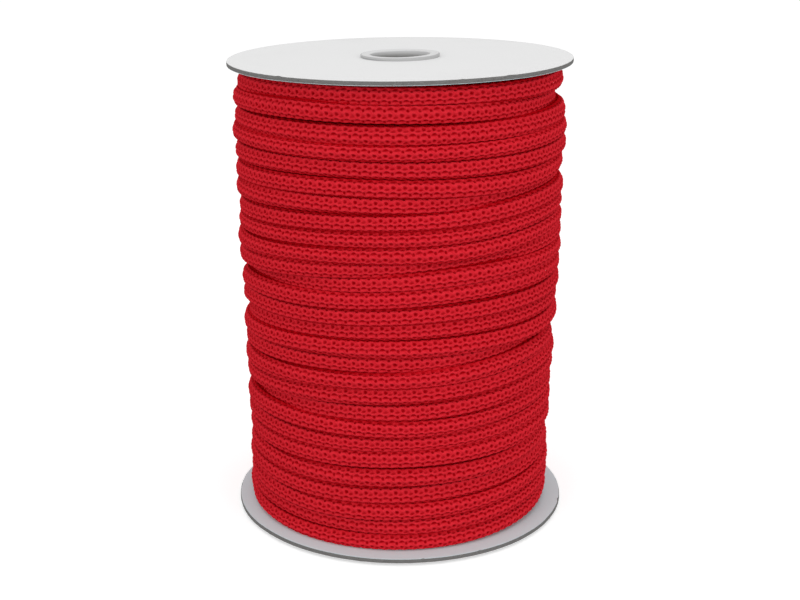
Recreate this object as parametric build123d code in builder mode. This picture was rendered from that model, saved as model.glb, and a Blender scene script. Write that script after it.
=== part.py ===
"""A reel of knitted rope. Two faced board flanges are clamped by the rolled rims of a core tube,
a spacer barrel keeps them apart, and the rope is wound on the barrel in nine layers.
Millimetres. +Z runs up along the bore, and z = 0 is the plane that the lower rim stands on."""

import os

from build123d import *

# ---------------------------------------------------------------- driving sizes
flange_diameter = 150.0
board_thickness = 1.6
facing_thickness = 0.2
traverse = 200.0  # between the flanges' inner faces

bore_diameter = 26.0
tube_wall = 2.0
rim_height = 1.3  # how far a rolled rim stands off its flange
rim_overlap = 2.2  # how far a rim reaches over the flange, past the tube's outer wall
rim_outer_rounding = 0.8
rim_mouth_rounding = 1.0

barrel_diameter = 50.0
barrel_wall = 3.0
centring_disc_thickness = 3.0
board_play = 0.1  # radial play of the boards and discs on the tube

layer_count = 9
rope_end_width = 6.4
rope_end_thickness = 4.5
rope_end_length = 14.0
rope_end_rounding = 1.6
rope_end_height = 14.0  # above the lower flange
seat_gap = 0.3

# How far the finished winding lies inside the flanges' edges, at shares of the traverse.
winding_insets = [(0.0, 7.2), (0.12, 6.2), (0.45, 4.4), (0.85, 2.0), (0.97, 3.4), (1.0, 5.4)]

# ---------------------------------------------------------------- derived sizes
flange_radius = flange_diameter / 2
bore_radius = bore_diameter / 2
tube_radius = bore_radius + tube_wall
rim_radius = tube_radius + rim_overlap
hole_radius = tube_radius + board_play
barrel_radius = barrel_diameter / 2
barrel_inner_radius = barrel_radius - barrel_wall

flange_thickness = board_thickness + 2 * facing_thickness
winding_bottom = rim_height + flange_thickness
winding_top = winding_bottom + traverse
overall_height = winding_top + flange_thickness + rim_height


# ---------------------------------------------------------------- helpers
def export(piece, name):
    """Labels a finished piece and writes it as its own STEP file."""
    piece.part.label = name
    export_step(piece.part, f"parts/{name}.step")
    box = piece.part.bounding_box()
    print(f"{name}: {piece.part.volume:.1f} mm3, z {box.min.Z:.2f} to {box.max.Z:.2f}")


def make_ring(name, low, thickness, inner_radius, outer_radius):
    """A flat ring or a tube round the bore's axis, standing on the plane z = low."""
    with BuildPart() as ring:
        with BuildSketch(Plane.XY.offset(low)):
            Circle(outer_radius)
            Circle(inner_radius, mode=Mode.SUBTRACT)
        extrude(amount=thickness)
    export(ring, name)


def winding_edge(depth_share):
    """Points up the winding, from the barrel's wall (share 0) to the finished outside (share 1)."""
    points = []
    for height_share, inset in winding_insets:
        outside = flange_radius - inset
        radius = barrel_radius + (outside - barrel_radius) * depth_share
        points.append((radius, winding_bottom + traverse * height_share))
    return points


def outside_radius(height):
    """The finished winding's radius at a height above the lower flange."""
    share = height / traverse
    for (low, low_inset), (high, high_inset) in zip(winding_insets, winding_insets[1:]):
        if low <= share <= high:
            inset = low_inset + (high_inset - low_inset) * (share - low) / (high - low)
            return flange_radius - inset
    raise ValueError("the height lies outside the winding")


# ---------------------------------------------------------------- flanges
def make_flange(side, low, outer_face_low, inner_face_low):
    """A grey board disc with a white paper facing on each of its faces."""
    make_ring(f"{side}_flange_board", low, board_thickness, hole_radius, flange_radius)
    make_ring(f"{side}_flange_outer_facing", outer_face_low, facing_thickness, hole_radius, flange_radius)
    make_ring(f"{side}_flange_inner_facing", inner_face_low, facing_thickness, hole_radius, flange_radius)


def make_bottom_flange():
    board_low = rim_height + facing_thickness
    make_flange("bottom", board_low, rim_height, board_low + board_thickness)


def make_top_flange():
    board_low = winding_top + facing_thickness
    make_flange("top", board_low, board_low + board_thickness, winding_top)


# ---------------------------------------------------------------- core
def make_core_tube():
    """The paper tube through both flanges, each end rolled outwards into a rim that clamps its flange."""
    with BuildPart() as core_tube:
        with BuildSketch(Plane.XZ):
            with BuildLine():
                Polyline(
                    (bore_radius, 0),
                    (rim_radius, 0),
                    (rim_radius, rim_height),
                    (tube_radius, rim_height),
                    (tube_radius, overall_height - rim_height),
                    (rim_radius, overall_height - rim_height),
                    (rim_radius, overall_height),
                    (bore_radius, overall_height),
                    close=True,
                )
            make_face()
        revolve(axis=Axis.Z)
        end_edges = core_tube.edges().filter_by(GeomType.CIRCLE).group_by(Axis.Z)
        for end in (end_edges[0], end_edges[-1]):
            mouth, outside = end.sort_by(SortBy.RADIUS)
            fillet(mouth, rim_mouth_rounding)
            fillet(outside, rim_outer_rounding)
    export(core_tube, "core_tube")


def make_barrel():
    """The wide tube that the rope is wound on, and the discs that centre it on the core tube."""
    make_ring("spacer_barrel", winding_bottom, traverse, barrel_inner_radius, barrel_radius)
    top_disc_low = winding_top - centring_disc_thickness
    for side, low in (("bottom", winding_bottom), ("top", top_disc_low)):
        make_ring(
            f"{side}_centring_disc",
            low,
            centring_disc_thickness,
            hole_radius,
            barrel_inner_radius - board_play,
        )


# ---------------------------------------------------------------- rope
def make_rope_layer(number):
    """One layer of turns, as a closed solid of its outer shape."""
    inner_edge = winding_edge((number - 1) / layer_count)
    outer_edge = winding_edge(number / layer_count)
    with BuildPart() as rope_layer:
        with BuildSketch(Plane.XZ):
            with BuildLine():
                Polyline(*inner_edge, *reversed(outer_edge), close=True)
            make_face()
        revolve(axis=Axis.Z)
    export(rope_layer, f"rope_layer_{number}")


def make_rope_end():
    """The flat, heat-sealed last centimetre of the rope, lying on the back of the winding."""
    radius = outside_radius(rope_end_height) + seat_gap + rope_end_thickness / 2
    with BuildPart() as rope_end:
        with Locations((0, radius, winding_bottom + rope_end_height)):
            Box(rope_end_length, rope_end_thickness, rope_end_width)
        fillet(rope_end.edges().filter_by(Axis.X), rope_end_rounding)
    export(rope_end, "rope_end")


# ---------------------------------------------------------------- the reel
os.makedirs("parts", exist_ok=True)
make_bottom_flange()
make_top_flange()
make_core_tube()
make_barrel()
for layer_number in range(1, layer_count + 1):
    make_rope_layer(layer_number)
make_rope_end()
print(f"overall height {overall_height:.1f} mm, flange diameter {flange_diameter:.1f} mm")
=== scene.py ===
"""Builds the looks of a reel of knitted rope round its CAD frame: faced board flanges, a core tube
with rolled rims, and one long knitted rope wound on it in nine layers. Sizes are in metres."""

import math

import bmesh
import bpy
import numpy as np
from bpy.props import FloatProperty, FloatVectorProperty, IntProperty, PointerProperty
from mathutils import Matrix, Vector


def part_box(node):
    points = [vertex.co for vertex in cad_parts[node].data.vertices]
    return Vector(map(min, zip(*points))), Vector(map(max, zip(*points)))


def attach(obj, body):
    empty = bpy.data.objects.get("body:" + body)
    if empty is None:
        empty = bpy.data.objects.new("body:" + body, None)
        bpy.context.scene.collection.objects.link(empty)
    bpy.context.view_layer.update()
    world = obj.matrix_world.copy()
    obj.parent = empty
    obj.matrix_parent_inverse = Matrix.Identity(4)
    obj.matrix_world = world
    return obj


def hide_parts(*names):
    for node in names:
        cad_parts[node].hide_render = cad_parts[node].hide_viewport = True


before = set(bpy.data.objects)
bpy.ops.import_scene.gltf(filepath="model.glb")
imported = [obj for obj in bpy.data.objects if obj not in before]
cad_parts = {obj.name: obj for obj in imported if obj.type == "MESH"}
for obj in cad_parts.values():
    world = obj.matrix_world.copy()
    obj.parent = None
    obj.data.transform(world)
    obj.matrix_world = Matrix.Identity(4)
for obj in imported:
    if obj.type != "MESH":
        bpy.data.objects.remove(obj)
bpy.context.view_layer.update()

bl_info = {
    "name": "Knitted Rope Reel",
    "version": (1, 0, 0),
    "blender": (4, 5, 0),
    "location": "View3D > Sidebar > Rope Reel",
    "description": "Builds a reel of knitted rope round its CAD frame",
    "category": "Object",
}

MM = 0.001
TURN = 2 * math.pi

# Places that the frame gives.
winding_low, winding_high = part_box("rope_layer_9")
_, barrel_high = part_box("spacer_barrel")
tube_low, tube_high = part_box("core_tube")
end_low, end_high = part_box("rope_end")
_, top_board_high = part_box("top_flange_board")
_, top_outer_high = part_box("top_flange_outer_facing")
FLANGE_RADIUS = top_board_high.x
BARREL_RADIUS = barrel_high.x
WINDING_BOTTOM = winding_low.z
TRAVERSE = winding_high.z - winding_low.z
RIM_RADIUS = tube_high.x
RIM_HEIGHT = tube_high.z - top_outer_high.z
TUBE_RADIUS = RIM_RADIUS - 2.2 * MM  # less the rolled rim's overhang
BORE_RADIUS = TUBE_RADIUS - 2.0 * MM  # less the tube's wall
HOLE_RADIUS = TUBE_RADIUS + 0.1 * MM  # with the board's play on the tube


# ------------------------------------------------------------------ settings
class ReelRopeSettings(bpy.types.PropertyGroup):
    """Sizes and colours of the rope and its winding."""

    turns: FloatProperty(name="Turns", description="Turns in each layer", default=28.0, min=2)
    layers: IntProperty(name="Layers", description="Layers of turns on the barrel", default=9, min=1)
    half_width: FloatProperty(
        name="Half width", description="Half of an outer turn's width", default=3.5 * MM, unit="LENGTH"
    )
    half_depth: FloatProperty(
        name="Half depth", description="Half of an outer turn's depth", default=3.7 * MM, unit="LENGTH"
    )
    buried_depth: FloatProperty(
        name="Buried depth", description="Half of a buried turn's depth", default=2.4 * MM, unit="LENGTH"
    )
    diameter: FloatProperty(
        name="Diameter", description="Diameter of the rope before winding", default=6.6 * MM, unit="LENGTH"
    )
    stitch: FloatProperty(
        name="Stitch", description="Length of one stitch along the rope", default=4.17 * MM, unit="LENGTH"
    )
    wales: IntProperty(name="Wales", description="Columns of stitches round the rope", default=5, min=3)
    wander: FloatProperty(
        name="Wander", description="How far turns stray from a level lay", default=0.9 * MM, unit="LENGTH"
    )
    sag: FloatProperty(
        name="Sag", description="Slope at which a turn's belly hangs over the turn below", default=0.13
    )
    colour: FloatVectorProperty(
        name="Colour", description="Yarn colour", subtype="COLOR", size=3, default=(0.68, 0.0215, 0.0345)
    )
    # Painted shade: a darker red that the yarn takes in the knit's creases and on the rope's flanks, where
    # shade falls.
    crease: FloatVectorProperty(
        name="Crease", description="Colour in the creases of the knit", subtype="COLOR", size=3,
        default=(0.45, 0.001, 0.005),
    )
    # Painted shade: a dark red painted into the knit's openings, where shade falls between the yarns.
    shade: FloatVectorProperty(
        name="Shade", description="Colour deep between the yarns", subtype="COLOR", size=3,
        default=(0.32, 0.0, 0.002),
    )
    seed: IntProperty(name="Seed", description="Which random lay is wound", default=7)


class ReelBoardSettings(bpy.types.PropertyGroup):
    """Colours and wear of the flanges and the tube."""

    paper: FloatVectorProperty(
        name="Paper", description="Facing paper", subtype="COLOR", size=3, default=(0.8, 0.8, 0.8)
    )
    # Painted shade and tint: the paper towards the rope is made darker and blue-grey, to cancel the red light
    # that the rope bounces on to it.
    backing_painted_tint: FloatVectorProperty(
        name="Backing", description="Facing paper on the sides towards the rope", subtype="COLOR", size=3,
        default=(0.64, 0.73, 0.76),
    )
    board: FloatVectorProperty(
        name="Board", description="Grey board", subtype="COLOR", size=3, default=(0.175, 0.172, 0.168)
    )
    rim: FloatVectorProperty(
        name="Rim", description="Rolled tube paper", subtype="COLOR", size=3, default=(0.7, 0.7, 0.7)
    )
    raw: FloatVectorProperty(
        name="Raw", description="Raw board inside the tube", subtype="COLOR", size=3,
        default=(0.25, 0.245, 0.24),
    )
    # Painted shade on the rolled rim's outer wall, which is made darker than the rim's top.
    rim_wall_painted_shade: FloatVectorProperty(
        name="Rim side", description="Cut side of the rolled rim", subtype="COLOR", size=3,
        default=(0.42, 0.42, 0.42),
    )
    barrel: FloatVectorProperty(
        name="Barrel", description="Brown tube paper", subtype="COLOR", size=3, default=(0.36, 0.24, 0.14)
    )
    fray: FloatProperty(
        name="Fray", description="Roughness of the cut board edge", default=0.17 * MM, unit="LENGTH"
    )
    tilt: FloatProperty(
        name="Tilt", description="How far the upper flange leans at its edge", default=0.8 * MM, unit="LENGTH"
    )


class ReelStageSettings(bpy.types.PropertyGroup):
    """Where the camera stands and how bright the stage is."""

    distance: FloatProperty(
        name="Distance", description="Camera distance from the axis", default=0.604, unit="LENGTH"
    )
    height: FloatProperty(name="Height", description="Camera height", default=0.2813, unit="LENGTH")
    pitch: FloatProperty(
        name="Pitch", description="Downward tilt", default=math.radians(15.53), subtype="ANGLE"
    )
    lens: FloatProperty(name="Lens", description="Focal length in millimetres", default=62.4)
    shift: FloatProperty(name="Shift", description="Lens shift that keeps uprights parallel", default=-0.05)
    world: FloatProperty(name="Ambient", description="Strength of the surrounding light", default=0.72)
    key: FloatProperty(name="Key", description="Power of the soft front lamps in watts", default=6.3)
    top: FloatProperty(name="Top", description="Power of the soft lamp above in watts", default=2.8)


# ------------------------------------------------------------------ shader maths
class Value:
    """A shader socket that takes part in Python arithmetic."""

    def __init__(self, graph, socket):
        self.graph = graph
        self.socket = socket

    def __add__(self, other):
        return self.graph.maths("ADD", self, other)

    def __sub__(self, other):
        return self.graph.maths("SUBTRACT", self, other)

    def __rsub__(self, other):
        return self.graph.maths("SUBTRACT", other, self)

    def __mul__(self, other):
        return self.graph.maths("MULTIPLY", self, other)

    def __truediv__(self, other):
        return self.graph.maths("DIVIDE", self, other)

    def __rtruediv__(self, other):
        return self.graph.maths("DIVIDE", other, self)

    def __pow__(self, other):
        return self.graph.maths("POWER", self, other)

    def __rpow__(self, other):
        return self.graph.maths("POWER", other, self)

    def __abs__(self):
        return self.graph.maths("ABSOLUTE", self)

    __radd__ = __add__
    __rmul__ = __mul__


class Graph:
    """Builds the nodes of one material, or of the world."""

    def __init__(self, owner):
        self.owner = owner
        owner.use_nodes = True
        self.tree = owner.node_tree
        self.tree.nodes.clear()

    def node(self, kind, settings=None, sockets=None):
        """A node of that type, with its settings, then its sockets' values or links."""
        made = self.tree.nodes.new(kind)
        for name, setting in (settings or {}).items():
            setattr(made, name, setting)
        for name, given in (sockets or {}).items():
            if isinstance(given, Value):
                given = given.socket
            if isinstance(given, bpy.types.NodeSocket):
                self.tree.links.new(given, made.inputs[name])
            else:
                made.inputs[name].default_value = given
        return made

    def maths(self, operation, *values):
        made = self.node("ShaderNodeMath", {"operation": operation}, dict(enumerate(values)))
        return Value(self, made.outputs[0])

    def wrap(self, value):
        return value - self.maths("ROUND", value)

    def exp(self, value):
        return self.maths("EXPONENT", value)

    def below(self, value, limit):
        return self.maths("LESS_THAN", value, limit)

    def clamp(self, value):
        return Value(self, self.node("ShaderNodeClamp", None, {"Value": value}).outputs[0])

    def smooth(self, value, low, high):
        """0 under low, 1 over high and smooth between."""
        made = self.node(
            "ShaderNodeMapRange",
            {"interpolation_type": "SMOOTHSTEP"},
            {"Value": value, "From Min": low, "From Max": high},
        )
        return Value(self, made.outputs[0])

    def noise(self, vector, scale, detail, rough):
        sockets = {"Vector": vector, "Scale": scale, "Detail": detail, "Roughness": rough}
        return Value(self, self.node("ShaderNodeTexNoise", None, sockets).outputs[0])

    def place(self):
        """The piece's own coordinates, in metres."""
        return self.node("ShaderNodeTexCoord").outputs["Object"]

    def split(self, vector):
        made = self.node("ShaderNodeSeparateXYZ", None, {0: vector})
        return [Value(self, out) for out in made.outputs]

    def join(self, x, y, z):
        return self.node("ShaderNodeCombineXYZ", None, {0: x, 1: y, 2: z}).outputs[0]

    def mix(self, factor, first, second):
        """A colour between two colours."""
        made = self.node(
            "ShaderNodeMix", {"data_type": "RGBA"}, {0: factor, 6: colour(first), 7: colour(second)}
        )
        return made.outputs[2]

    def bump(self, height, distance):
        sockets = {"Height": height, "Distance": distance, "Strength": 1.0}
        return self.node("ShaderNodeBump", None, sockets).outputs[0]

    def seen_by(self, *kinds):
        """1 where the light path is of any of those kinds, else 0."""
        paths = self.node("ShaderNodeLightPath")
        first, *others = [Value(self, paths.outputs[f"Is {kind} Ray"]) for kind in kinds]
        for other in others:
            first = self.maths("MAXIMUM", first, other)
        return first

    def finish(self, **sockets):
        """Ends in one Principled shader."""
        named = {name.replace("_", " "): given for name, given in sockets.items()}
        shader = self.node("ShaderNodeBsdfPrincipled", None, named)
        self.node("ShaderNodeOutputMaterial", None, {"Surface": shader.outputs[0]})
        return self.owner


class Arrays:
    """The same calls as Graph's, for numbers."""

    @staticmethod
    def wrap(value):
        return value - np.round(value)

    @staticmethod
    def exp(value):
        return np.exp(value)

    @staticmethod
    def below(value, limit):
        return np.where(value < limit, 1.0, 0.0)


def colour(given):
    """A colour socket's value with its alpha, or a link as it is."""
    if isinstance(given, bpy.types.NodeSocket):
        return given
    return (*given, 1.0)


def toned(given, factor):
    """A colour made darker or lighter."""
    return tuple(min(1.0, part * factor) for part in given)


# ------------------------------------------------------------------ the knit
# Openings of the knit. Each has its place in stitches along and bands round, its half length and
# half width in shares of a stitch, its lean, how far it arches, and its depth.
OPENINGS = (
    (0.50, 0.20, 0.290, 0.108, 0.06, 0.9, 1.00),
    (0.02, -0.17, 0.140, 0.122, -0.60, 0.0, 1.00),
    (0.50, -0.93, 0.185, 0.155, -0.25, -0.3, 0.95),
    (0.02, -1.25, 0.235, 0.095, 0.10, 0.0, 0.85),
)
BAND_PER_STITCH = 0.55  # a band's width in stitches
SWELL = 0.64 * MM  # how far the yarn swells out of a crease
PIT = 0.55 * MM  # how deep the openings are
SETBACK = 0.38 * MM  # how far the creases lie inside the rope's outline


def knit(maths, along, around):
    """The knit at a place in stitches along the rope and bands round it, of 2 for each wale: how far
    the yarn swells, from 0 in a crease to 1, how open the knit is, and the place along and across
    one loop's leg."""
    across_wale = maths.wrap(around / 2)
    fold = abs(across_wale) * 2
    odd = maths.below(across_wale, 0.0)
    leg = maths.wrap(along + fold * 0.5 + odd * 0.5)
    across = abs(fold - 0.5) * 2
    swell = 1 - across**3 * 0.5 - (1 - abs(leg) * 2) ** 3 * 0.5
    opening = 0
    for stitch, band, length, width, lean, arch, depth in OPENINGS:
        x = maths.wrap(along - stitch)
        y = maths.wrap((around - band) / 2) * 2 * BAND_PER_STITCH
        lengthwise = (x * math.cos(lean) - y * math.sin(lean)) / length
        crosswise = (x * math.sin(lean) + y * math.cos(lean)) / width + lengthwise * lengthwise * arch
        reach = lengthwise * lengthwise + crosswise * crosswise
        opening = opening + maths.exp(reach * reach * -1.0) * depth
    return swell, opening, leg, fold


def knit_material(name, rope):
    """Matt knitted yarn, read from the map that holds stitches along and bands round."""
    graph = Graph(bpy.data.materials.new(name))
    pattern = graph.node("ShaderNodeUVMap", {"uv_map": "knit"}).outputs[0]
    along, around, _ = graph.split(pattern)
    swell, opening, leg, fold = knit(graph, along, around)
    # Filaments run along each leg.
    strand_place = graph.join(leg * 2.2 + around * 0.3, fold * 16.0 + leg * 3.0, along * 0.05)
    strands = graph.noise(strand_place, 1.6, 2.0, 0.6)
    # The rope's flanks, which face away from the outside of the reel, get painted shade.
    facing = Value(graph, graph.node("ShaderNodeAttribute", {"attribute_name": "facing"}).outputs["Fac"])
    flank_shade_mask = 1 - graph.smooth(facing, 0.1, 0.85)
    place = graph.place()
    shade_depth_noise = graph.noise(place, 240.0, 2.0, 0.5)
    cloud = graph.noise(place, 55.0, 2.0, 0.5)
    speck = graph.noise(place, 2600.0, 1.0, 0.5)
    lit = graph.mix(
        graph.clamp(cloud * 0.7 + strands * 0.6 - 0.15),
        toned(rope.colour, 0.91),
        toned(rope.colour, 1.05),
    )
    # Painted shade: the yarn turns to the crease colour in the knit's creases and on the rope's flanks.
    yarn_with_painted_shade = graph.mix(graph.clamp((1 - swell) * 0.6 + flank_shade_mask), lit, rope.crease)
    # Painted shade in the knit's openings, made stronger or weaker by a random noise.
    base = graph.mix(graph.clamp(opening * (0.5 + shade_depth_noise)), yarn_with_painted_shade, rope.shade)
    height = swell * 0.6 - opening * 0.9 + strands * 0.12 + speck * 0.06
    return graph.finish(
        Base_Color=base,
        Roughness=graph.clamp(0.75 + strands * 0.2),
        Normal=graph.bump(height, 0.35 * MM),
        Specular_IOR_Level=0.01,
    )


# ------------------------------------------------------------------ winding
# How far the finished winding lies inside the flanges' edges, in millimetres, at shares of the
# traverse.
WINDING_INSETS = ((0.0, 7.2), (0.12, 6.2), (0.45, 4.4), (0.85, 2.0), (0.97, 3.4), (1.0, 5.4))
STATIONS = 36  # route points for each turn
RINGS = 8  # rings of the outer rope's mesh for each stitch
BURIED_STEP = 1.5  # stitches between the rings of a buried rope's mesh
START = 0.3  # the share of a turn over which the outer layer climbs out of the layer under it
CLIMB = 0.15  # the share of a turn over which a buried layer climbs on to the next
HUGGING = 6  # how many turns beside a flange spread out to fill the room by it
TAIL = 0.25  # the share of a turn over which the rope's tail climbs on to its neighbours
SEATING = 0.5 * MM  # how far the outer turns press into the layer under them
UNEVEN_BED = 0.65 * MM  # how far the outer turns rise and sink over the layer under them
CALM = 25 * MM  # nearer to a flange than this, a sunk turn draws its neighbours less
CLOSING_TURNS = 6  # how many turns on each side close up over a sunk turn
SETTLING_ROUNDS = 160  # how often the outer turns push each other before they lie still
NARROWEST, WIDEST = 0.86, 1.13  # how far neighbours squeeze a turn's width, or let it spread
SQUARENESS = 2.35  # how boxy a pressed turn's section is, where 2 is an ellipse
BAKE_SHARE = 0.94  # how much of its row on the sheet for baking the rope's wrap fills
END_ANGLE = math.atan2(end_low.y, end_low.x)  # where the tail meets the rope's sealed end

# How far the outer turns lean up towards the reel's right, in millimetres, at shares of the
# traverse.
LEAN = (
    (0.0, 0.0), (0.1, 1.8), (0.3, 4.0), (0.55, 4.8), (0.72, 2.0), (0.88, -1.8), (0.96, -1.6), (1.0, 0.0),
)
LEAN_HEADING = math.radians(45)

# Turns that sink under their neighbours, or with a minus ride on them, in millimetres and degrees.
# Each has its height above the lower flange, its heading round from the front to the right, its
# reach round the reel, and its depth.
LAY_FAULTS = (
    (184, 72, 34, 6.4), (150, 52, 32, 6.2), (127, 30, 26, 5.6), (118, -78, 34, 6.2), (82, 66, 32, 6.0),
    (98, -34, 24, 2.4), (60, -74, 32, 5.8), (44, 8, 22, 2.0), (197, -44, 30, 2.6), (14, 60, 20, -1.6),
    (166, -20, 26, 1.6), (110, 70, 20, -0.9), (12, -30, 24, 3.0), (30, 40, 24, 1.6),
    (190, 190, 34, 5.8), (161, 130, 30, 5.0), (140, 215, 34, 6.4), (117, 165, 28, 3.4),
    (92, 235, 32, 6.0), (75, 140, 36, 6.2), (50, 200, 30, 5.2), (33, 120, 30, 3.8),
    (170, 245, 22, -0.9), (64, 100, 20, -0.8),
)


def outside_radius(height):
    """The finished winding's radius at heights above the lower flange."""
    shares = [share * TRAVERSE for share, _ in WINDING_INSETS]
    insets = [inset * MM for _, inset in WINDING_INSETS]
    return FLANGE_RADIUS - np.interp(height, shares, insets)


def ease(share):
    """A smooth step from 0 to 1."""
    return share * share * (3 - 2 * share)


def smooth_noise(rng, count, spacing):
    """Random values about 0, smooth over that many stations, in about -1 to 1."""
    knots = rng.uniform(-1, 1, int(count / spacing) + 4)
    place = np.arange(count) / spacing + 1
    knot = place.astype(int)
    share = ease(place - knot)
    return knots[knot] * (1 - share) + knots[knot + 1] * share


def even_route(number, rope):
    """A neat layer's stations: angle, height above the lower flange and radius. Odd layers run
    down and even ones up, and all turn the same way."""
    count = int(rope.turns * STATIONS) + 1
    step = np.arange(count)
    angle = END_ANGLE + TURN * ((rope.layers - number + 1) * rope.turns - step / STATIONS)
    angle[0] += 0.02  # a layer starts just inside the one before it, so no seam shows
    share = step / (count - 1)
    if number == rope.layers:
        share = np.minimum(1, share / (1 - TAIL / rope.turns))
    if number % 2:
        share = 1 - share
    height = rope.half_width + (TRAVERSE - 2 * rope.half_width) * share
    buried = outside_radius(height) - 2 * rope.half_depth + SEATING - BARREL_RADIUS
    turns_in = step / STATIONS
    climb = np.clip(1 - (rope.turns - turns_in) / CLIMB, 0, 1) ** 2
    if number > 1:
        climb -= np.clip(1 - turns_in / CLIMB, 0, 1) ** 2
    radius = BARREL_RADIUS + buried * (number - 0.5 + climb * 0.5) / (rope.layers - 1)
    return angle, height, radius


def hug_flanges(turns_in, rope):
    """How far the first and last few turns shift towards the flange beside them, so that the turn
    next to it lies against it over most of its way round."""
    pitch = (TRAVERSE - 2 * rope.half_width) / rope.turns
    whole, part = np.divmod(turns_in, 1.0)
    left_over = np.floor(rope.turns - turns_in)
    leaving = ease(np.clip((part - 0.55) / 0.25, 0, 1))
    arriving = ease(np.clip((part - 0.2) / 0.25, 0, 1))
    up = part * (1 - leaving) * np.clip(1 - whole / HUGGING, 0, 1)
    down = (1 - part) * arriving * np.clip(1 - left_over / HUGGING, 0, 1)
    return pitch * (up - down)


def wanted_lay(height, heading, rope):
    """Where the outer turns would lie if none pushed another: their heights, and how far each sinks
    into the layer under it. Turns stray from a level lay and close up over the sunk ones."""
    rng = np.random.default_rng(rope.seed)
    count = len(height)
    turns_in = np.arange(count) / STATIONS
    lean = np.interp(height / TRAVERSE, [at for at, _ in LEAN], [rise * MM for _, rise in LEAN])
    aim = height + lean * (np.cos(heading - LEAN_HEADING) + 0.25 * np.cos(2 * heading + 1.9))
    aim += rope.wander * (0.8 * smooth_noise(rng, count, 9) + 0.8 * smooth_noise(rng, count, 31))
    sink = UNEVEN_BED * smooth_noise(rng, count, 11)
    sink += (rope.half_depth - SEATING) * np.clip(1 - turns_in / START, 0, 1) ** 2
    free = np.clip(np.minimum(height, TRAVERSE - height) / CALM, 0, 1)
    for fault_height, fault_heading, reach, depth in LAY_FAULTS:
        # The nearest heading counts first, and the height picks the turn.
        turned = np.angle(np.exp(1j * (heading - math.radians(fault_heading))))
        centre = turns_in[(np.abs(height - fault_height * MM) + np.abs(turned)).argmin()]
        for beside in range(-CLOSING_TURNS, CLOSING_TURNS + 1):
            bump = np.exp(-(((turns_in - centre - beside) * 360 / reach) ** 2))
            if beside == 0:
                sink += depth * MM * bump
                aim += max(0.0, -depth) * MM * bump
            elif depth > 0:
                closing = 0.56 * depth * 0.74 ** (abs(beside) - 1)
                aim += math.copysign(closing, beside) * MM * bump * free
    return aim + hug_flanges(turns_in, rope), sink


def lay_turns(rope):
    """The outer layer's stations. Turns push each other along the reel, and ride up on each other
    where they run out of room."""
    angle, height, _ = even_route(rope.layers, rope)
    aim, sink = wanted_lay(height, angle + TURN / 4, rope)
    width, depth = 2 * rope.half_width, 2 * rope.half_depth
    # Beside a flange, a turn presses against it.
    lowest, highest = rope.half_width * 0.92, TRAVERSE - rope.half_width * 0.82
    aim = np.clip(aim, lowest, highest)
    bed = outside_radius(height) - rope.half_depth
    z, r = aim.copy(), bed - sink
    for _ in range(SETTLING_ROUNDS):
        # Turns that lie too close push each other apart. Then each is drawn a little towards where
        # it wants to lie, and the rope's stiffness takes out its kinks.
        for apart in (STATIONS, 2 * STATIONS):
            dz, dr = (z[apart:] - z[:-apart]) / width, (r[apart:] - r[:-apart]) / depth
            gap = np.sqrt(dz * dz + dr * dr) + 1e-9
            push = np.maximum(0, 0.99 - gap) * 0.22
            for way, part in ((1, slice(apart, None)), (-1, slice(None, -apart))):
                z[part] += way * push * dz / gap * width * 0.6
                r[part] += way * push * dr / gap * depth * 0.7
        z += 0.05 * (aim - z)
        r += 0.06 * (bed - sink - r)
        for line in (z, r):
            line[1:-1] += 0.22 * (line[:-2] + line[2:] - 2 * line[1:-1])
        z = np.clip(z, lowest, highest)
        r = np.clip(r, bed - sink - 1.2 * MM, bed + 1.3 * MM)
    return angle, z, r


def climb_tail(z, r, half_depth, rope):
    """Lifts the rope's last part on to its neighbours, up to where the sealed end lies."""
    tail = int(TAIL * STATIONS)
    end_centre = (end_low + end_high) / 2
    end_depth = (end_high.y - end_low.y) / 2
    rise = ease(np.linspace(0, 1, tail + 1))
    low, deep = z[-tail - 1], r[-tail - 1]
    z[-tail - 1:] = low + (end_centre.z - WINDING_BOTTOM - low) * rise
    side = np.clip(1 - (z[-tail - 1:] - low) / (2 * rope.half_width), 0, 1)
    last = math.hypot(end_centre.x - end_low.x, end_centre.y)
    r[-tail - 1:] = deep + (last - deep) * np.sqrt(1 - side * side)
    half_depth[-tail - 1:] = half_depth[-tail - 1] + (end_depth - half_depth[-tail - 1]) * rise


def thin_start(half_depth, rope):
    """Lets the outer layer start as thin as the buried turn that it goes on from."""
    share = np.clip(np.arange(len(half_depth)) / STATIONS / START, 0, 1)
    half_depth[:] = rope.buried_depth + (half_depth - rope.buried_depth) * share * (2 - share)


def spacing_to_width(z, r, rope):
    """Half widths and half depths along the outer layer: a turn is squeezed narrow and deep between
    close neighbours, and spreads flat where it has room."""
    gap = np.abs(z[STATIONS:] - z[:-STATIONS])
    step = np.abs(r[STATIONS:] - r[:-STATIONS])
    gap = gap + np.maximum(0, step - 1.2 * MM) * 1.5
    above = np.concatenate([gap[:STATIONS], gap])
    below = np.concatenate([gap, gap[-STATIONS:]])
    half_width = np.clip((above + below) / 4, NARROWEST * rope.half_width, WIDEST * rope.half_width)
    kernel = np.hanning(11)
    padded = np.pad(half_width, len(kernel) // 2, mode="edge")
    half_width = np.convolve(padded, kernel / kernel.sum(), mode="valid")
    half_depth = rope.half_depth * (rope.half_width / half_width) ** 0.8
    return half_width, half_depth


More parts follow.
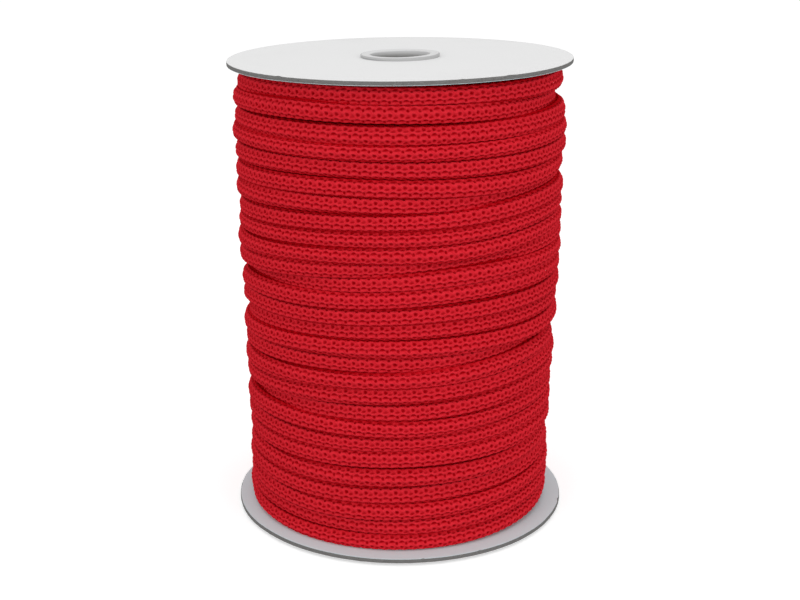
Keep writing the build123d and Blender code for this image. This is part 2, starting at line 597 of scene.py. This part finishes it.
def spline_points(name, points):
    """Points read from a smooth NURBS spline through the route."""
    curve = bpy.data.curves.new(name, "CURVE")
    curve.dimensions = "3D"
    spline = curve.splines.new("NURBS")
    spline.points.add(len(points) - 1)
    flat = np.column_stack([points, np.ones(len(points))]).astype(np.float32)
    spline.points.foreach_set("co", flat.ravel())
    spline.order_u = 3
    spline.use_endpoint_u = True
    spline.resolution_u = 8
    holder = bpy.data.objects.new(name, curve)
    bpy.context.scene.collection.objects.link(holder)
    bpy.context.view_layer.update()
    mesh = bpy.data.meshes.new_from_object(holder.evaluated_get(bpy.context.evaluated_depsgraph_get()))
    found = np.empty(len(mesh.vertices) * 3, np.float32)
    mesh.vertices.foreach_get("co", found)
    bpy.data.objects.remove(holder)
    bpy.data.curves.remove(curve)
    bpy.data.meshes.remove(mesh)
    return found.reshape(-1, 3).astype(float)


def route_points(angle, height, radius):
    """Control points in space. They stand out a little, because the spline cuts inside them."""
    reach = radius / math.cos(math.pi / STATIONS) ** 0.75
    return np.column_stack([reach * np.cos(angle), reach * np.sin(angle), WINDING_BOTTOM + height])


def resample(points, step):
    """Evenly spaced points along a line, and where each lies on it, from 0 to 1."""
    along = np.concatenate([[0], np.cumsum(np.linalg.norm(np.diff(points, axis=0), axis=1))])
    at = np.linspace(0, along[-1], int(along[-1] / step) + 1)
    line = np.column_stack([np.interp(at, along, points[:, k]) for k in range(3)])
    return line, np.interp(at, along, np.linspace(0, 1, len(points)))


def rope_frames(line):
    """Unit vectors at right angles to the rope, out of the reel and across the rope."""
    ahead = np.gradient(line, axis=0)
    ahead /= np.linalg.norm(ahead, axis=1)[:, None]
    out = line * [1, 1, 0]
    out -= ahead * np.sum(out * ahead, axis=1)[:, None]
    out /= np.linalg.norm(out, axis=1)[:, None]
    return out, np.cross(ahead, out)


def section(share, half_width, half_depth):
    """A pressed rope's outline and its normals at shares of the way round, 0 facing out of the reel."""
    fine = np.linspace(-math.pi, math.pi, 2001)
    x = np.sign(np.sin(fine)) * np.abs(np.sin(fine)) ** (2 / SQUARENESS)
    y = np.sign(np.cos(fine)) * np.abs(np.cos(fine)) ** (2 / SQUARENESS)
    length = np.concatenate([[0], np.cumsum(np.hypot(np.diff(x), np.diff(y)))])
    turn = np.interp((share + 0.5) % 1.0, length / length[-1], fine)
    s, c = np.sin(turn), np.cos(turn)
    across = np.sign(s) * np.abs(s) ** (2 / SQUARENESS) * half_width
    out = np.sign(c) * np.abs(c) ** (2 / SQUARENESS) * half_depth
    normal_across = np.sign(s) * np.abs(s) ** (2 - 2 / SQUARENESS) / half_width
    normal_out = np.sign(c) * np.abs(c) ** (2 - 2 / SQUARENESS) / half_depth
    size = np.hypot(normal_across, normal_out)
    return across, out, normal_across / size, normal_out / size


def rope_mesh(name, line, half_width, half_depth, bands, twist, stitches, relief, rows, sag=0.0):
    """A mesh tube along the line. bands are the columns' places round the rope, of 2 for each wale,
    and stitches the rings' places along it. One map holds the knit's place, and the other lays the
    rope out for baking in that many rows."""
    rings, columns = len(line), len(bands)
    total = 2 * bpy.context.scene.reel_rope.wales
    out, side = rope_frames(line)
    share = (bands[None, :] + twist[:, None]) / total
    across, depth, lean_across, lean_out = section(share, half_width[:, None], half_depth[:, None])
    lift = 0.0
    if relief:
        swell, opening, _, _ = knit(Arrays, stitches[:, None], bands[None, :])
        lift = swell * SWELL - np.minimum(opening, 1.0) * PIT - SETBACK
    x = across + lean_across * lift
    y = depth + lean_out * lift - sag * x
    points = line[:, None, :] + side[:, None, :] * x[:, :, None] + out[:, None, :] * y[:, :, None]

    ring = np.arange(rings - 1)[:, None]
    column = np.arange(columns)[None, :]
    after = (column + 1) % columns
    corners = np.stack(
        [ring * columns + column, ring * columns + after, (ring + 1) * columns + after,
         (ring + 1) * columns + column], axis=-1
    ).reshape(-1, 4)
    band_low, band_high = bands, np.append(bands[1:], bands[0] + total)
    knit_map = face_map(stitches[:-1, None], stitches[1:, None], band_low, band_high)
    per_row = math.ceil((rings - 1) / rows)
    row, place = [part[:, None] for part in np.divmod(np.arange(rings - 1), per_row)]
    margin = (1 - BAKE_SHARE) / 2
    share_low, share_high = (
        (band - bands[0]) / total * BAKE_SHARE + margin for band in (band_low, band_high)
    )
    bake_map = face_map(
        place / per_row, (place + 1) / per_row, (row + share_low) / rows, (row + share_high) / rows
    )
    mesh = quad_mesh(name, points.reshape(-1, 3), corners)
    # The facing attribute tells the yarn's material where to paint shade on the rope's flanks.
    facing = mesh.attributes.new("facing", "FLOAT", "POINT")
    facing.data.foreach_set("value", lean_out.astype(np.float32).ravel())
    caps = [list(range(columns))[::-1], [columns * (rings - 1) + c for c in range(columns)]]
    for layer, values in (("knit", knit_map), ("OFBake", bake_map)):
        uv = mesh.uv_layers.new(name=layer)
        uv.data.foreach_set("uv", values.astype(np.float32).ravel())
    return close_ends(mesh, caps)


def face_map(u_low, u_high, v_low, v_high):
    """Map places for the four corners of each face, from its reach each way."""
    corners = (u_low, v_low, u_low, v_high, u_high, v_high, u_high, v_low)
    return np.stack(np.broadcast_arrays(*corners), axis=-1).reshape(-1, 2)


def quad_mesh(name, points, corners):
    """A smooth mesh from arrays of points and four-cornered faces."""
    mesh = bpy.data.meshes.new(name)
    mesh.vertices.add(len(points))
    mesh.vertices.foreach_set("co", points.astype(np.float32).ravel())
    mesh.loops.add(corners.size)
    mesh.loops.foreach_set("vertex_index", corners.astype(np.int32).ravel())
    mesh.polygons.add(len(corners))
    mesh.polygons.foreach_set("loop_start", np.arange(len(corners), dtype=np.int32) * 4)
    mesh.update(calc_edges=True)
    mesh.polygons.foreach_set("use_smooth", np.ones(len(mesh.polygons), bool))
    return mesh


def close_ends(mesh, caps):
    """Adds the two end faces of a tube."""
    work = bmesh.new()
    work.from_mesh(mesh)
    work.verts.ensure_lookup_table()
    for cap in caps:
        work.faces.new([work.verts[i] for i in cap])
    work.to_mesh(mesh)
    work.free()
    return mesh


def add_piece(mesh, material, node):
    """Links a piece, gives it its material and slot, and lets it ride on the reel in place of its
    CAD node."""
    piece = bpy.data.objects.new(mesh.name, mesh)
    bpy.context.scene.collection.objects.link(piece)
    mesh.materials.append(material)
    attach(piece, "root")
    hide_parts(node)
    return piece


# ------------------------------------------------------------------ round pieces
FLANGE_PLACES = 1440  # points round a flange's edge
TUBE_PLACES = 256  # points round the tube
EDGE_ROWS = 7  # rows of points up a board's cut edge
FLAKES = 6  # places on each facing's edge where the paper is torn and lifted
BOARD_SEED, OUTLINE_SEED, FACING_SEED, TUBE_SEED = 20, 30, 40, 60  # each kind draws its own wear

# Rows of a facing from its edge inwards: each row's share of the edge's radius, and how much of a
# flake's lift it takes.
FACING_ROWS = ((1.0, 1.0), (0.992, 0.45), (0.975, 0.0), (0.9, 0.0), (0.7, 0.0), (0.45, 0.0), (0.3, 0.0))


def angles(places):
    """Even places round the axis."""
    return np.arange(places) * TURN / places


def row_arrays(rows, places):
    """Radius and height, each of rows by places, from pairs of numbers or of arrays round the axis."""
    return [np.array([np.broadcast_to(row[k], places) for row in rows]) for k in (0, 1)]


def ring_mesh(name, radius, height):
    """A closed ring from arrays of radius and height, of rows round the outline by places round the
    axis. The outline runs anticlockwise, seen with the axis on the left."""
    rows, places = radius.shape
    angle = angles(places)
    points = np.stack([radius * np.cos(angle), radius * np.sin(angle), height], axis=-1)
    row, place = np.arange(rows)[:, None], np.arange(places)[None, :]
    row_after, place_after = (row + 1) % rows, (place + 1) % places
    corners = np.stack(
        [row * places + place, row * places + place_after, row_after * places + place_after,
         row_after * places + place], axis=-1
    ).reshape(-1, 4)
    return quad_mesh(name, points.reshape(-1, 3), corners)


def sharpen(mesh, degrees=40):
    """Keeps corners crisp and the rest smooth."""
    mesh.set_sharp_from_angle(angle=math.radians(degrees))


def flange_outline(side):
    """A flange's cut edge, a little uneven: its radius at even places round the axis."""
    rng = np.random.default_rng(OUTLINE_SEED + (side == "top"))
    angle = angles(FLANGE_PLACES)
    slow = np.zeros(FLANGE_PLACES)
    for waves in range(2, 22):
        slow += np.cos(angle * waves + rng.uniform(0, TURN)) / waves
    return FLANGE_RADIUS - 0.2 * MM + slow * 0.13 * MM


def ragged(rng, places, rows, grain):
    """Noise for a torn paper edge, in -1 to 1: a fine grain over a coarser one."""
    coarse = np.zeros((rows, places))
    for row in range(rows):
        knots = rng.uniform(-1, 1, places // grain)
        knots = np.append(knots, knots[0])
        coarse[row] = np.interp(np.arange(places) / grain, np.arange(len(knots)), knots)
    fine = rng.uniform(-1, 1, (rows, places))
    fine = (fine + np.roll(fine, 1, axis=1) + np.roll(fine, 2, axis=1)) / 3
    return coarse * 0.55 + fine * 0.45


# ------------------------------------------------------------------ operators
class REEL_OT_outer_rope(bpy.types.Operator):
    """Winds the outer layer, with its stitches in relief."""

    bl_idname = "reel.outer_rope"
    bl_label = "Outer Rope"

    def execute(self, context):
        rope = context.scene.reel_rope
        node = f"rope_layer_{rope.layers}"
        angle, height, radius = lay_turns(rope)
        half_width, half_depth = spacing_to_width(height, radius, rope)
        climb_tail(height, radius, half_depth, rope)
        thin_start(half_depth, rope)
        smooth = spline_points("outer_route", route_points(angle, height, radius))
        line, at = resample(smooth, rope.stitch / RINGS)
        stations = np.linspace(0, 1, len(height))
        rng = np.random.default_rng(rope.seed + 1)
        twist = 1.6 * smooth_noise(rng, len(height), 19) + 0.5 * smooth_noise(rng, len(height), 8)
        # The columns are fine all round, but for the side that lies on the layer under it.
        bands = np.append(np.arange(0.5 - rope.wales, rope.wales - 0.4, 0.25), rope.wales)
        stitches = np.arange(len(line)) / RINGS + 0.22 * smooth_noise(rng, len(line), 26)
        mesh = rope_mesh(
            f"{node}_turns", line, np.interp(at, stations, half_width),
            np.interp(at, stations, half_depth), bands, np.interp(at, stations, twist),
            stitches, True, 24, rope.sag,
        )
        piece = add_piece(mesh, knit_material("knitted_yarn", rope), node)
        return {"FINISHED"}


class REEL_OT_inner_rope(bpy.types.Operator):
    """Winds the layers that lie under the outer one."""

    bl_idname = "reel.inner_rope"
    bl_label = "Inner Rope"

    def execute(self, context):
        rope = context.scene.reel_rope
        material = knit_material("buried_yarn", rope)
        bands = np.arange(-rope.wales, rope.wales, 1.0)
        for number in range(1, rope.layers):
            node = f"rope_layer_{number}"
            angle, height, radius = even_route(number, rope)
            smooth = spline_points(f"route_{number}", route_points(angle, height, radius))
            line, _ = resample(smooth, BURIED_STEP * rope.stitch)
            count = len(line)
            mesh = rope_mesh(
                f"{node}_turns", line, np.full(count, rope.half_width), np.full(count, rope.buried_depth),
                bands, np.zeros(count), np.arange(count) * BURIED_STEP, False, 16,
            )
            piece = add_piece(mesh, material, node)
        return {"FINISHED"}


class REEL_OT_rope_end(bpy.types.Operator):
    """Makes the heat-sealed end of the rope."""

    bl_idname = "reel.rope_end"
    bl_label = "Rope End"

    def execute(self, context):
        rope = context.scene.reel_rope
        centre = (end_low + end_high) / 2
        length = end_high.x - end_low.x
        rings = int(length / rope.stitch * RINGS) + 1
        along = np.linspace(0, 1, rings)
        # The end starts inside the tail, and closes up towards its tip.
        overlap = 1.4 * MM * np.clip(1 - along / 0.2, 0, 1)
        line = np.column_stack(
            [end_low.x + length * along - overlap, np.full(rings, centre.y), np.full(rings, centre.z)]
        )
        closing = np.clip((along - 0.62) / 0.38, 0, 1) ** 2
        half_width = (end_high.z - end_low.z) / 2 * (1 - 0.30 * closing)
        half_depth = (end_high.y - end_low.y) / 2 * (1 - 0.42 * closing)
        bands = np.arange(-rope.wales, rope.wales, 0.25)
        mesh = rope_mesh(
            "rope_end_sealed", line, half_width, half_depth, bands, np.zeros(rings),
            along * length / rope.stitch, True, 1,
        )
        add_piece(mesh, knit_material("sealed_yarn", rope), "rope_end")
        return {"FINISHED"}


class REEL_OT_flanges(bpy.types.Operator):
    """Makes both flanges, each a cut grey board between two paper facings."""

    bl_idname = "reel.flanges"
    bl_label = "Flanges"

    def execute(self, context):
        boards = context.scene.reel_board
        for seed, side in enumerate(("bottom", "top")):
            self.make_board(side, boards, seed)
            for face in ("outer", "inner"):
                self.make_facing(side, face, boards, seed * 2 + (face == "inner"))
        return {"FINISHED"}

    def add_disc(self, side, name, rows, material, node, slot):
        """Adds one disc from its rows. The upper flange's discs lean a little to one side."""
        radius, height = row_arrays(rows, FLANGE_PLACES)
        if side == "top":
            tilt = bpy.context.scene.reel_board.tilt
            height = height + tilt * radius / FLANGE_RADIUS * np.cos(angles(FLANGE_PLACES))
        mesh = ring_mesh(name, radius, height)
        sharpen(mesh)
        add_piece(mesh, material, node)

    def make_board(self, side, boards, seed):
        node = f"{side}_flange_board"
        low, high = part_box(node)
        rng = np.random.default_rng(BOARD_SEED + seed)
        levels = np.linspace(0, 1, EDGE_ROWS)
        fray = ragged(rng, FLANGE_PLACES, EDGE_ROWS, 5) * boards.fray
        fray[[0, -1]] *= 0.6
        bulge = np.sin(levels * math.pi) ** 0.5 * 0.06 * MM
        edge = flange_outline(side) + fray + bulge[:, None]
        face = [share * FLANGE_RADIUS for share in (0.98, 0.85, 0.6, 0.35)] + [HOLE_RADIUS]
        rows = [(radius, low.z) for radius in face[::-1]]
        rows += [(row, low.z + level * (high.z - low.z)) for level, row in zip(levels, edge)]
        rows += [(radius, high.z) for radius in face]
        material = board_material(f"{side}_grey_board", boards)
        self.add_disc(side, f"{side}_board", rows, material, node, "grey_board")

    def make_facing(self, side, face, boards, seed):
        node = f"{side}_flange_{face}_facing"
        low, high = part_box(node)
        rng = np.random.default_rng(FACING_SEED + seed)
        inset = 0.02 * MM if face == "outer" else 0.16 * MM
        edge = flange_outline(side) - inset + ragged(rng, FLANGE_PLACES, 1, 7)[0] * 0.08 * MM
        lift = np.zeros(FLANGE_PLACES)
        up = 1.0 if (side, face) in (("top", "outer"), ("bottom", "inner")) else -1.0
        for _ in range(FLAKES):
            centre, width = rng.uniform(0, TURN), rng.uniform(0.006, 0.022)
            off = np.angle(np.exp(1j * (angles(FLANGE_PLACES) - centre))) / width
            flake = np.exp(-off * off)
            edge -= flake * rng.uniform(0.1, 0.5) * MM
            lift += flake * rng.uniform(0.04, 0.15) * MM * up
        rows = [(edge * share, high.z + lift * rise) for share, rise in FACING_ROWS]
        rows += [(HOLE_RADIUS, high.z), (HOLE_RADIUS, low.z)]
        rows += [(edge * share, low.z + lift * rise) for share, rise in FACING_ROWS[::-1]]
        # The facings towards the rope take the paper colour with painted shade and a blue-grey tint against
        # the rope's red bounce light.
        white = boards.paper if face == "outer" else boards.backing_painted_tint
        material = paper_material(f"{side}_{face}_facing_paper", white)
        self.add_disc(side, f"{side}_{face}_paper", rows, material, node, "white_facing")


class REEL_OT_core_tube(bpy.types.Operator):
    """Makes the core tube with its two rolled rims."""

    bl_idname = "reel.core_tube"
    bl_label = "Core Tube"

    def execute(self, context):
        boards = context.scene.reel_board
        length = tube_high.z - tube_low.z
        corner, mouth = 0.4 * MM, 0.7 * MM
        # Each row has its radius, its height, and how much of the paper's dents it takes.
        curve = [(1 - math.sin(t), 1 - math.cos(t)) for t in np.linspace(0, math.pi / 2, 7)]
        lower_rim = [(RIM_RADIUS - corner * inwards, corner * up, 1.0) for inwards, up in curve]
        lower_rim += [
            (RIM_RADIUS, RIM_HEIGHT * 0.7, 0.6), (RIM_RADIUS - 0.04 * MM, RIM_HEIGHT, 0.0),
            (TUBE_RADIUS, RIM_HEIGHT, 0.0),
        ]
        lower_mouth = [(BORE_RADIUS + mouth * inwards, mouth * up, 1.0) for inwards, up in curve]
        upper_rim, upper_mouth = (
            [(radius, length - height, dented) for radius, height, dented in rows]
            for rows in (lower_rim[::-1], lower_mouth)
        )
        bore = [(BORE_RADIUS, length * share, 0.0) for share in (0.96, 0.9, 0.7, 0.5, 0.3, 0.1, 0.04)]
        rows = lower_rim + upper_rim + upper_mouth + bore + lower_mouth[::-1]
        rng = np.random.default_rng(TUBE_SEED)
        angle = angles(TUBE_PLACES)
        dents = np.zeros(TUBE_PLACES)
        for waves in (1, 2, 3, 5):
            dents += np.cos(waves * angle + rng.uniform(0, TURN)) / waves * 0.10 * MM
        radius, height = row_arrays(rows, TUBE_PLACES)
        dented = np.array([row[2] for row in rows])[:, None]
        skew = np.where(height > length / 2, 0.35 * MM * np.cos(angle) + dents * 0.5, 0.0)
        mesh = ring_mesh("core_tube_rolled", radius + dented * dents * 0.8, height + dented * skew)
        sharpen(mesh, 50)
        add_piece(mesh, rim_material("rolled_tube_paper", boards), "core_tube")
        return {"FINISHED"}


class REEL_OT_inner_core(bpy.types.Operator):
    """Finishes the barrel and the centring discs, which keep their CAD shapes."""

    bl_idname = "reel.inner_core"
    bl_label = "Barrel and Discs"

    def execute(self, context):
        boards = context.scene.reel_board
        barrel = spiral_material("spiral_barrel_paper", boards)
        disc = board_material("disc_grey_board", boards)
        for node, material in (
            ("spacer_barrel", barrel), ("top_centring_disc", disc), ("bottom_centring_disc", disc)
        ):
            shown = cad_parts[node]
            for slot in shown.material_slots:
                slot.material = material
        return {"FINISHED"}


# ------------------------------------------------------------------ paper and board
RIM_SPIRAL, BARREL_SPIRAL = 48 * MM, 70 * MM  # how far a tube's spiral seam rises in one turn


def paper_material(name, white):
    """Smooth white liner paper with faint fibres and rubs."""
    graph = Graph(bpy.data.materials.new(name))
    place = graph.place()
    fibre = graph.noise(place, 900.0, 4.0, 0.6)
    cloud = graph.noise(place, 38.0, 3.0, 0.55)
    rub = graph.smooth(graph.noise(place, 16.0, 5.0, 0.65), 0.56, 0.8)
    tone = graph.mix(graph.clamp(cloud * 0.6 + fibre * 0.4), toned(white, 0.965), white)
    base = graph.mix(rub * 0.35, tone, toned(white, 0.9))
    return graph.finish(
        Base_Color=base,
        Roughness=graph.clamp(0.55 + fibre * 0.15 + rub * 0.1),
        Normal=graph.bump(fibre * 0.7 + cloud * 0.5, 0.03 * MM),
        Specular_IOR_Level=0.35,
    )


def board_material(name, boards):
    """Raw grey board: pressed fibres in thin plies, darker specks and pale strands."""
    graph = Graph(bpy.data.materials.new(name))
    place = graph.place()
    x, y, z = graph.split(place)
    plies = graph.noise(graph.join(x * 0.22, y * 0.22, z), 3800.0, 3.0, 0.6)
    fibre = graph.noise(place, 1900.0, 4.0, 0.7)
    speck = graph.smooth(graph.noise(place, 1400.0, 2.0, 0.5), 0.6, 0.72)
    strand = graph.smooth(graph.noise(graph.join(x * 0.3, y * 0.3, z * 2.0), 2400.0, 2.0, 0.5), 0.62, 0.75)
    tone = graph.mix(
        graph.clamp(plies * 0.7 + fibre * 0.6 - 0.15),
        toned(boards.board, 0.62),
        toned(boards.board, 1.3),
    )
    dark = graph.mix(speck * 0.5, tone, toned(boards.board, 0.4))
    base = graph.mix(strand * 0.55, dark, toned(boards.board, 2.3))
    return graph.finish(
        Base_Color=base,
        Roughness=0.9,
        Normal=graph.bump(plies * 0.6 + fibre * 0.7, 0.12 * MM),
        Specular_IOR_Level=0.2,
    )


def rim_material(name, boards):
    """Pale tube paper, smooth where it is rolled, with fine creases round the rim."""
    graph = Graph(bpy.data.materials.new(name))
    place = graph.place()
    x, y, z = graph.split(place)
    angle = graph.maths("ARCTAN2", y, x)
    crease = graph.noise(graph.join(angle * 9.0, z * 60.0, 0.0), 5.0, 3.0, 0.6)
    fibre = graph.noise(place, 1100.0, 4.0, 0.6)
    spiral = graph.wrap(angle / TURN + z / RIM_SPIRAL)
    seam = 1 - graph.smooth(abs(spiral), 0.0, 0.012)
    tone = graph.mix(graph.clamp(crease * 0.6 + fibre * 0.5), toned(boards.rim, 0.9), boards.rim)
    # The rim's outer wall gets painted shade, darker than its top. Past the rolled mouths the bore is raw
    # board.
    radius = graph.maths("SQRT", x * x + y * y)
    wall_shade_mask = graph.smooth(radius, RIM_RADIUS - 0.55 * MM, RIM_RADIUS - 0.25 * MM)
    with_wall_shade = graph.mix(wall_shade_mask, tone, boards.rim_wall_painted_shade)
    middle = (tube_high.z - tube_low.z) / 2
    deep = 1 - graph.smooth(abs(z - middle), middle - 3.6 * MM, middle - 0.5 * MM)
    bore = graph.below(radius, BORE_RADIUS + 0.6 * MM) * deep
    base = graph.mix(bore * (1 - seam * 0.3), with_wall_shade, boards.raw)
    return graph.finish(
        Base_Color=base,
        Roughness=graph.clamp(0.5 + fibre * 0.2),
        Normal=graph.bump(crease * 0.8 + fibre * 0.3 - seam * bore * 1.2, 0.06 * MM),
        Specular_IOR_Level=0.35,
    )


def spiral_material(name, boards):
    """Brown tube paper wound in a spiral, with its butt seam."""
    graph = Graph(bpy.data.materials.new(name))
    place = graph.place()
    x, y, z = graph.split(place)
    spiral = graph.wrap(graph.maths("ARCTAN2", y, x) / TURN + z / BARREL_SPIRAL)
    seam = 1 - graph.smooth(abs(spiral), 0.0, 0.01)
    fibre = graph.noise(place, 800.0, 4.0, 0.6)
    tone = graph.mix(fibre, toned(boards.barrel, 0.75), boards.barrel)
    base = graph.mix(seam * 0.6, tone, toned(boards.barrel, 0.4))
    return graph.finish(
        Base_Color=base, Roughness=0.75, Normal=graph.bump(fibre * 0.4 - seam, 0.1 * MM)
    )


# ------------------------------------------------------------------ stage
class REEL_OT_stage(bpy.types.Operator):
    """Sets the floor, the surrounding light, the lamps and the camera."""

    bl_idname = "reel.stage"
    bl_label = "Stage"

    def execute(self, context):
        stage = context.scene.reel_stage
        self.make_floor()
        self.make_world(context.scene, stage)
        self.make_lamp("front_left", (-0.85, -1.05, 0.42), (0, 0, 0.1), 1.1, stage.key)
        self.make_lamp("front_right", (0.95, -0.98, 0.36), (0, 0, 0.1), 1.1, stage.key * 1.15)
        self.make_lamp("above", (0, 0, 1.4), (0, 0, 0.2), 1.2, stage.top)
        self.make_camera(context.scene, stage)
        context.scene.view_settings.view_transform = "Standard"
        return {"FINISHED"}

    def make_floor(self):
        reach = 6.0
        mesh = bpy.data.meshes.new("floor")
        corners = [(x * reach, y * reach, 0) for x, y in ((-1, -1), (1, -1), (1, 1), (-1, 1))]
        mesh.from_pydata(corners, [], [(0, 1, 2, 3)])
        graph = Graph(bpy.data.materials.new("pale_floor"))
        seen = graph.seen_by("Camera", "Glossy", "Transmission")
        diffuse = graph.node("ShaderNodeBsdfDiffuse", None, {"Color": (0.84, 0.84, 0.84, 1.0)})
        bounce = graph.node("ShaderNodeBsdfDiffuse", None, {"Color": (0.4, 0.4, 0.4, 1.0)})
        glow = graph.node("ShaderNodeEmission", None, {"Color": (1, 1, 1, 1), "Strength": 0.42})
        both = graph.node("ShaderNodeAddShader", None, {0: diffuse.outputs[0], 1: glow.outputs[0]})
        pick = graph.node(
            "ShaderNodeMixShader", None, {0: seen, 1: bounce.outputs[0], 2: both.outputs[0]}
        )
        graph.node("ShaderNodeOutputMaterial", None, {"Surface": pick.outputs[0]})
        mesh.materials.append(graph.owner)
        floor = bpy.data.objects.new("floor", mesh)
        bpy.context.scene.collection.objects.link(floor)

    def make_world(self, scene, stage):
        graph = Graph(bpy.data.worlds.new("studio"))
        light, white = (
            graph.node("ShaderNodeBackground", None, {"Color": (1, 1, 1, 1), "Strength": strength})
            for strength in (stage.world, 1.0)
        )
        seen = graph.seen_by("Camera", "Glossy")
        pick = graph.node(
            "ShaderNodeMixShader", None, {0: seen, 1: light.outputs[0], 2: white.outputs[0]}
        )
        graph.node("ShaderNodeOutputWorld", None, {"Surface": pick.outputs[0]})
        scene.world = graph.owner

    def make_lamp(self, name, place, aim, size, power):
        light = bpy.data.lights.new(name, "AREA")
        light.shape = "DISK"
        light.size = size
        light.energy = power
        lamp = bpy.data.objects.new(name, light)
        lamp.location = place
        lamp.rotation_euler = (Vector(aim) - Vector(place)).to_track_quat("-Z", "Y").to_euler()
        bpy.context.scene.collection.objects.link(lamp)

    def make_camera(self, scene, stage):
        camera = bpy.data.cameras.new("camera")
        camera.lens = stage.lens
        camera.sensor_width = 36
        camera.shift_y = stage.shift
        camera.clip_start = 0.01
        holder = bpy.data.objects.new("camera", camera)
        holder.location = (0, -stage.distance, stage.height)
        holder.rotation_euler = (math.pi / 2 - stage.pitch, 0, 0)
        scene.collection.objects.link(holder)
        scene.camera = holder


class REEL_PT_panel(bpy.types.Panel):
    """Lists the reel's sizes, colours and pieces."""

    bl_idname = "REEL_PT_panel"
    bl_label = "Rope Reel"
    bl_space_type = "VIEW_3D"
    bl_region_type = "UI"
    bl_category = "Rope Reel"

    def draw(self, context):
        for group in (context.scene.reel_rope, context.scene.reel_board, context.scene.reel_stage):
            box = self.layout.box()
            for name in group.bl_rna.properties.keys():
                if name not in ("rna_type", "name"):
                    box.prop(group, name)
        for step in STEPS:
            self.layout.operator(step.bl_idname)


SETTINGS = (
    ("reel_rope", ReelRopeSettings), ("reel_board", ReelBoardSettings), ("reel_stage", ReelStageSettings)
)
STEPS = (
    REEL_OT_stage, REEL_OT_flanges, REEL_OT_core_tube, REEL_OT_inner_core, REEL_OT_inner_rope,
    REEL_OT_outer_rope, REEL_OT_rope_end,
)


def register():
    for name, group in SETTINGS:
        bpy.utils.register_class(group)
        setattr(bpy.types.Scene, name, PointerProperty(type=group))
    for made in (*STEPS, REEL_PT_panel):
        bpy.utils.register_class(made)


def unregister():
    for made in (REEL_PT_panel, *reversed(STEPS)):
        bpy.utils.unregister_class(made)
    for name, group in reversed(SETTINGS):
        delattr(bpy.types.Scene, name)
        bpy.utils.unregister_class(group)


def main():
    """Builds every piece in order."""
    register()
    for step in STEPS:
        group, name = step.bl_idname.split(".")
        getattr(getattr(bpy.ops, group), name)()


if __name__ == "__main__":
    main()
